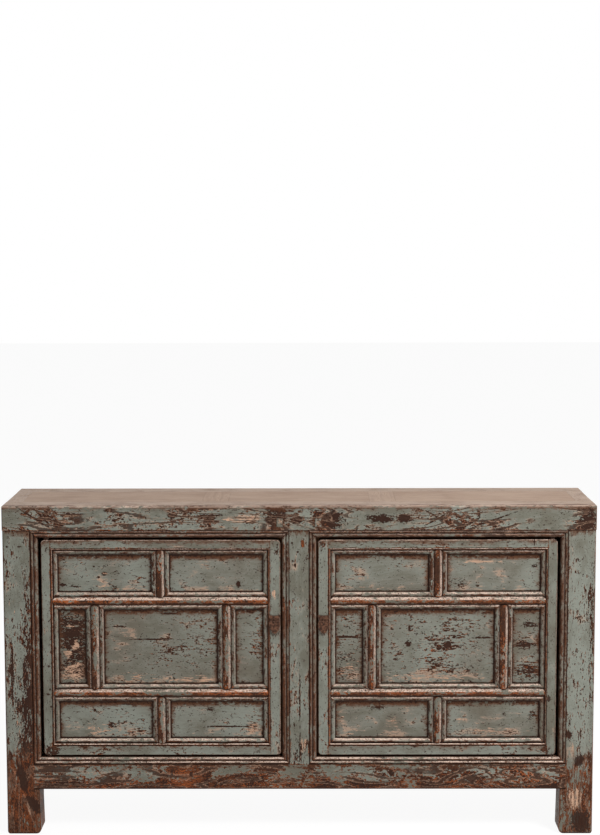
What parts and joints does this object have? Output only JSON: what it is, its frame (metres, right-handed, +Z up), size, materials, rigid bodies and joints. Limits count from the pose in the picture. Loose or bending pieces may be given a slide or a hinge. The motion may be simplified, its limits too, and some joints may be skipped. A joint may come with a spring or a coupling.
{
  "type": "kang cabinet",
  "caption": "Low cabinet on short feet with a pair of lattice-panelled doors that turn on wooden pivots, in worn painted wood.",
  "frame": {"origin": "on the floor, under the middle of the bounding box", "axes": "+X along the front to the viewer's right, +Y from the doors to the back, +Z up"},
  "size_m": [1.45, 0.3036, 0.822],
  "materials": {
    "painted_wood": "worn grey-blue paint over pale pink ground on red-brown softwood",
    "bare_top_wood": "bare, dry, waxed",
    "raw_wood": "bare, unfinished",
    "iron": "forged, rusty brown"
  },
  "bodies": {
    "carcass": {"top_rail_front": "painted_wood", "top_rail_back": "painted_wood", "top_end_rail_left": "painted_wood", "top_end_rail_right": "painted_wood", "top_cross_rail_left": "bare_top_wood", "top_cross_rail_right": "bare_top_wood", "top_panel_left": "bare_top_wood", "top_panel_centre": "bare_top_wood", "top_panel_right": "bare_top_wood", "post_front_left": "painted_wood", "post_front_right": "painted_wood", "post_back_left": "painted_wood", "post_back_right": "painted_wood", "centre_post": "painted_wood", "door_stop": "raw_wood", "bottom_rail_front": "painted_wood", "bottom_rail_back": "painted_wood", "bottom_side_rail_left": "painted_wood", "bottom_side_rail_right": "painted_wood", "side_panel_left": "painted_wood", "side_panel_right": "painted_wood", "back_stile": "raw_wood", "back_panel_left": "raw_wood", "back_panel_right": "raw_wood", "floor_board_front": "raw_wood", "floor_board_back": "raw_wood", "floor_bearers": "raw_wood", "rail_plugs": "painted_wood"},
    "left_door": {"left_door_hinge_stile": "painted_wood", "left_door_pull_stile": "painted_wood", "left_door_rail_top": "painted_wood", "left_door_rail_bottom": "painted_wood", "left_door_muntin_upper": "painted_wood", "left_door_muntin_lower": "painted_wood", "left_door_muntin_hinge_side": "painted_wood", "left_door_muntin_pull_side": "painted_wood", "left_door_short_muntins": "painted_wood", "left_door_corner_panels": "painted_wood", "left_door_side_panels": "painted_wood", "left_door_centre_panel": "painted_wood", "left_door_pull_plate": "iron", "left_door_pull_staple": "iron"},
    "left_pull": {"left_pull_drop": "iron"},
    "right_door": {"right_door_hinge_stile": "painted_wood", "right_door_pull_stile": "painted_wood", "right_door_rail_top": "painted_wood", "right_door_rail_bottom": "painted_wood", "right_door_muntin_upper": "painted_wood", "right_door_muntin_lower": "painted_wood", "right_door_muntin_hinge_side": "painted_wood", "right_door_muntin_pull_side": "painted_wood", "right_door_short_muntins": "painted_wood", "right_door_corner_panels": "painted_wood", "right_door_side_panels": "painted_wood", "right_door_centre_panel": "painted_wood", "right_door_pull_plate": "iron", "right_door_pull_staple": "iron"},
    "right_pull": {"right_pull_drop": "iron"}
  },
  "joints": [
    {"name": "left_door_pivot", "type": "hinge", "parent": "carcass", "child": "left_door", "pos_m": [-0.6185, -0.134, 0.1975], "axis": [0, 0, -1], "range_deg": [0, 115]},
    {"name": "right_door_pivot", "type": "hinge", "parent": "carcass", "child": "right_door", "pos_m": [0.6185, -0.134, 0.1975], "axis": [0, 0, 1], "range_deg": [0, 115]},
    {"name": "left_pull_swing", "type": "hinge", "parent": "left_door", "child": "left_pull", "pos_m": [-0.06, -0.1494, 0.5345], "axis": [-1, 0, 0], "range_deg": [0, 170]},
    {"name": "right_pull_swing", "type": "hinge", "parent": "right_door", "child": "right_pull", "pos_m": [0.06, -0.1494, 0.5345], "axis": [-1, 0, 0], "range_deg": [0, 170]}
  ]
}
